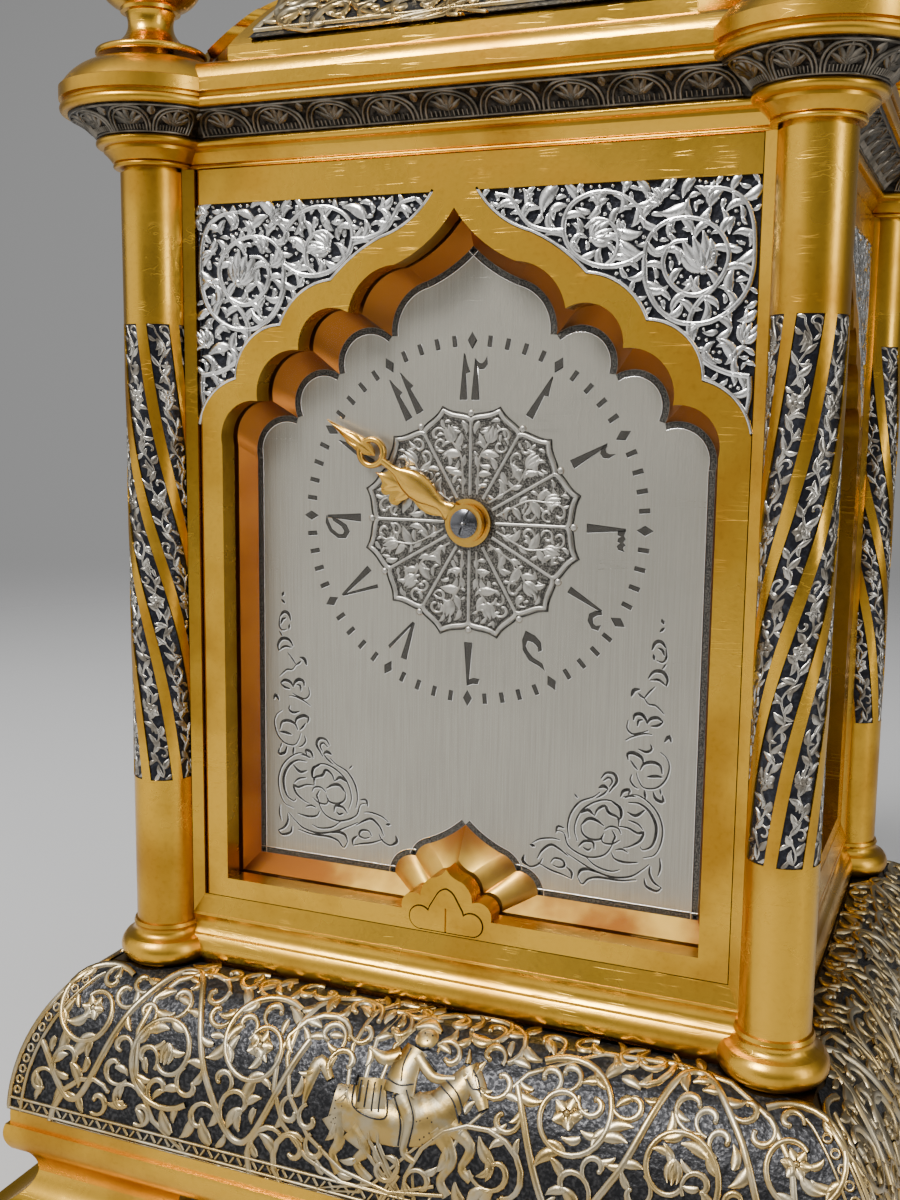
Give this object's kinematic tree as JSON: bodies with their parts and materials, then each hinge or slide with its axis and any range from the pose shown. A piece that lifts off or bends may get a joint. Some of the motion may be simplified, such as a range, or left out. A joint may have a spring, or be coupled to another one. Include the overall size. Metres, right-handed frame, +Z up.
{
  "type": "mantel clock",
  "caption": "Gilt mantel clock with a hinged glazed front, silvered dial, spiral corner columns, swelling base and bell roof over a spring-driven movement.",
  "frame": {"origin": "centre of the footprint at the soles of the feet", "axes": "+Z up, the dial faces -Y, +X to the right of the dial"},
  "size_m": [0.216, 0.203, 0.3639],
  "materials": {
    "gilt": "satin gilt bronze with fine scratches",
    "silvered_relief": "silvered relief over a darkened ground",
    "dark_silver": "darkened silvered band",
    "dial_silver": "vertically brushed silvered dial",
    "steel": "polished steel",
    "movement_brass": "lacquered brass",
    "glass": "clear flat glass"
  },
  "bodies": {
    "case": {"base_plinth": "gilt", "base_cushion": "gilt", "sill_moulding": "gilt", "column_front_left": "gilt", "column_front_right": "gilt", "column_back_left": "gilt", "column_back_right": "gilt", "lintel_moulding": "gilt", "cornice": "gilt", "roof": "gilt", "roof_corner_leaves": "gilt", "top_finial": "gilt", "corner_finials": "gilt", "front_frame": "gilt", "dial_surround": "gilt", "left_panel": "gilt", "right_panel": "gilt", "back_frame": "gilt", "base_relief_panels": "silvered_relief", "column_inlays": "silvered_relief", "side_spandrels": "silvered_relief", "roof_relief_panels": "silvered_relief", "dial_rosette": "silvered_relief", "frieze_band": "dark_silver", "dial_plate": "dial_silver", "tie_rods": "steel", "hinge_pins": "steel", "plate_pillars": "steel", "floor_plate": "movement_brass", "front_plate": "movement_brass", "back_plate": "movement_brass", "dial_feet": "movement_brass", "escapement_cock": "movement_brass", "side_glasses": "glass"},
    "front_door": {"front_door": "gilt", "door_spandrels": "silvered_relief", "front_glass": "glass", "glass_clips": "steel"},
    "catch_button": {"catch_button": "gilt"},
    "back_door": {"back_door": "gilt", "back_glass": "glass"},
    "back_knob": {"back_knob": "gilt"},
    "minute_hand": {"minute_hand": "gilt", "hand_screw": "steel", "cannon_pinion": "movement_brass"},
    "minute_wheel": {"minute_wheel": "movement_brass"},
    "hour_hand": {"hour_hand": "gilt", "hour_wheel": "movement_brass"},
    "spring_barrel": {"spring_barrel": "movement_brass", "mainspring": "steel"},
    "winding_arbor": {"winding_arbor": "steel"},
    "ratchet_click": {"ratchet_click": "steel"},
    "centre_wheel": {"centre_wheel": "movement_brass"},
    "third_wheel": {"third_wheel": "movement_brass"},
    "fourth_wheel": {"fourth_wheel": "movement_brass"},
    "escape_wheel": {"escape_wheel": "movement_brass"},
    "escape_lever": {"escape_lever": "steel"},
    "balance_wheel": {"balance_wheel": "movement_brass", "hairspring": "steel"}
  },
  "joints": [
    {"name": "front_door_hinge", "type": "hinge", "parent": "case", "child": "front_door", "pos_m": [-0.0616, -0.064, 0.1666], "axis": [0, 0, -1], "range_deg": [0, 97]},
    {"name": "catch_press", "type": "slide", "parent": "front_door", "child": "catch_button", "axis": [0, 1, 0], "range_m": [0, 0.0008], "stiffness_N_per_m": 150, "springref_m": -0.002},
    {"name": "back_door_hinge", "type": "hinge", "parent": "case", "child": "back_door", "pos_m": [0.0616, 0.064, 0.1666], "axis": [0, 0, -1], "range_deg": [0, 97]},
    {"name": "back_knob_turn", "type": "hinge", "parent": "back_door", "child": "back_knob", "pos_m": [-0.0576, 0.0631, 0.174], "axis": [0, 1, 0], "range_deg": [0, 90]},
    {"name": "minute_hand_turn", "type": "hinge", "parent": "case", "child": "minute_hand", "pos_m": [0, -0.05, 0.174], "axis": [0, 1, 0], "continuous": true},
    {"name": "minute_wheel_turn", "type": "hinge", "parent": "case", "child": "minute_wheel", "pos_m": [0.01039, -0.047, 0.168], "axis": [0, 1, 0], "continuous": true},
    {"name": "hour_hand_turn", "type": "hinge", "parent": "case", "child": "hour_hand", "pos_m": [0, -0.052, 0.174], "axis": [0, 1, 0], "continuous": true},
    {"name": "barrel_turn", "type": "hinge", "parent": "case", "child": "spring_barrel", "pos_m": [-0.0077, -0.025, 0.15286], "axis": [0, 1, 0], "continuous": true},
    {"name": "winding", "type": "hinge", "parent": "case", "child": "winding_arbor", "pos_m": [-0.0077, -0.011, 0.15286], "axis": [0, 1, 0], "continuous": true},
    {"name": "click_lift", "type": "hinge", "parent": "case", "child": "ratchet_click", "pos_m": [0.00358, -0.009, 0.15696], "axis": [0, 1, 0], "range_deg": [-10, 0], "stiffness_Nm_per_rad": 0.0005, "springref_deg": 5.73},
    {"name": "centre_wheel_turn", "type": "hinge", "parent": "case", "child": "centre_wheel", "pos_m": [0, -0.03, 0.174], "axis": [0, 1, 0], "continuous": true},
    {"name": "third_wheel_turn", "type": "hinge", "parent": "case", "child": "third_wheel", "pos_m": [0.01013, -0.03, 0.19154], "axis": [0, 1, 0], "continuous": true},
    {"name": "fourth_wheel_turn", "type": "hinge", "parent": "case", "child": "fourth_wheel", "pos_m": [-0.0046, -0.03, 0.20004], "axis": [0, 1, 0], "continuous": true},
    {"name": "escape_wheel_turn", "type": "hinge", "parent": "case", "child": "escape_wheel", "pos_m": [-0.01789, -0.02, 0.19769], "axis": [0, 1, 0], "continuous": true},
    {"name": "lever_rock", "type": "hinge", "parent": "case", "child": "escape_lever", "pos_m": [-0.02316, -0.008, 0.19141], "axis": [0, 1, 0], "range_deg": [-8, 8]},
    {"name": "balance_swing", "type": "hinge", "parent": "case", "child": "balance_wheel", "pos_m": [-0.02831, -0.006, 0.18528], "axis": [0, 1, 0], "range_deg": [-135, 135], "stiffness_Nm_per_rad": 0.00002}
  ],
  "couplings": [
    {"joint": "centre_wheel_turn", "follows": "third_wheel_turn", "ratio": -0.125},
    {"joint": "barrel_turn", "follows": "third_wheel_turn", "ratio": 0.015625},
    {"joint": "fourth_wheel_turn", "follows": "third_wheel_turn", "ratio": -7.5},
    {"joint": "escape_wheel_turn", "follows": "third_wheel_turn", "ratio": 60},
    {"joint": "minute_wheel_turn", "follows": "minute_hand_turn", "ratio": -0.33333},
    {"joint": "hour_hand_turn", "follows": "minute_hand_turn", "ratio": 0.083333}
  ]
}
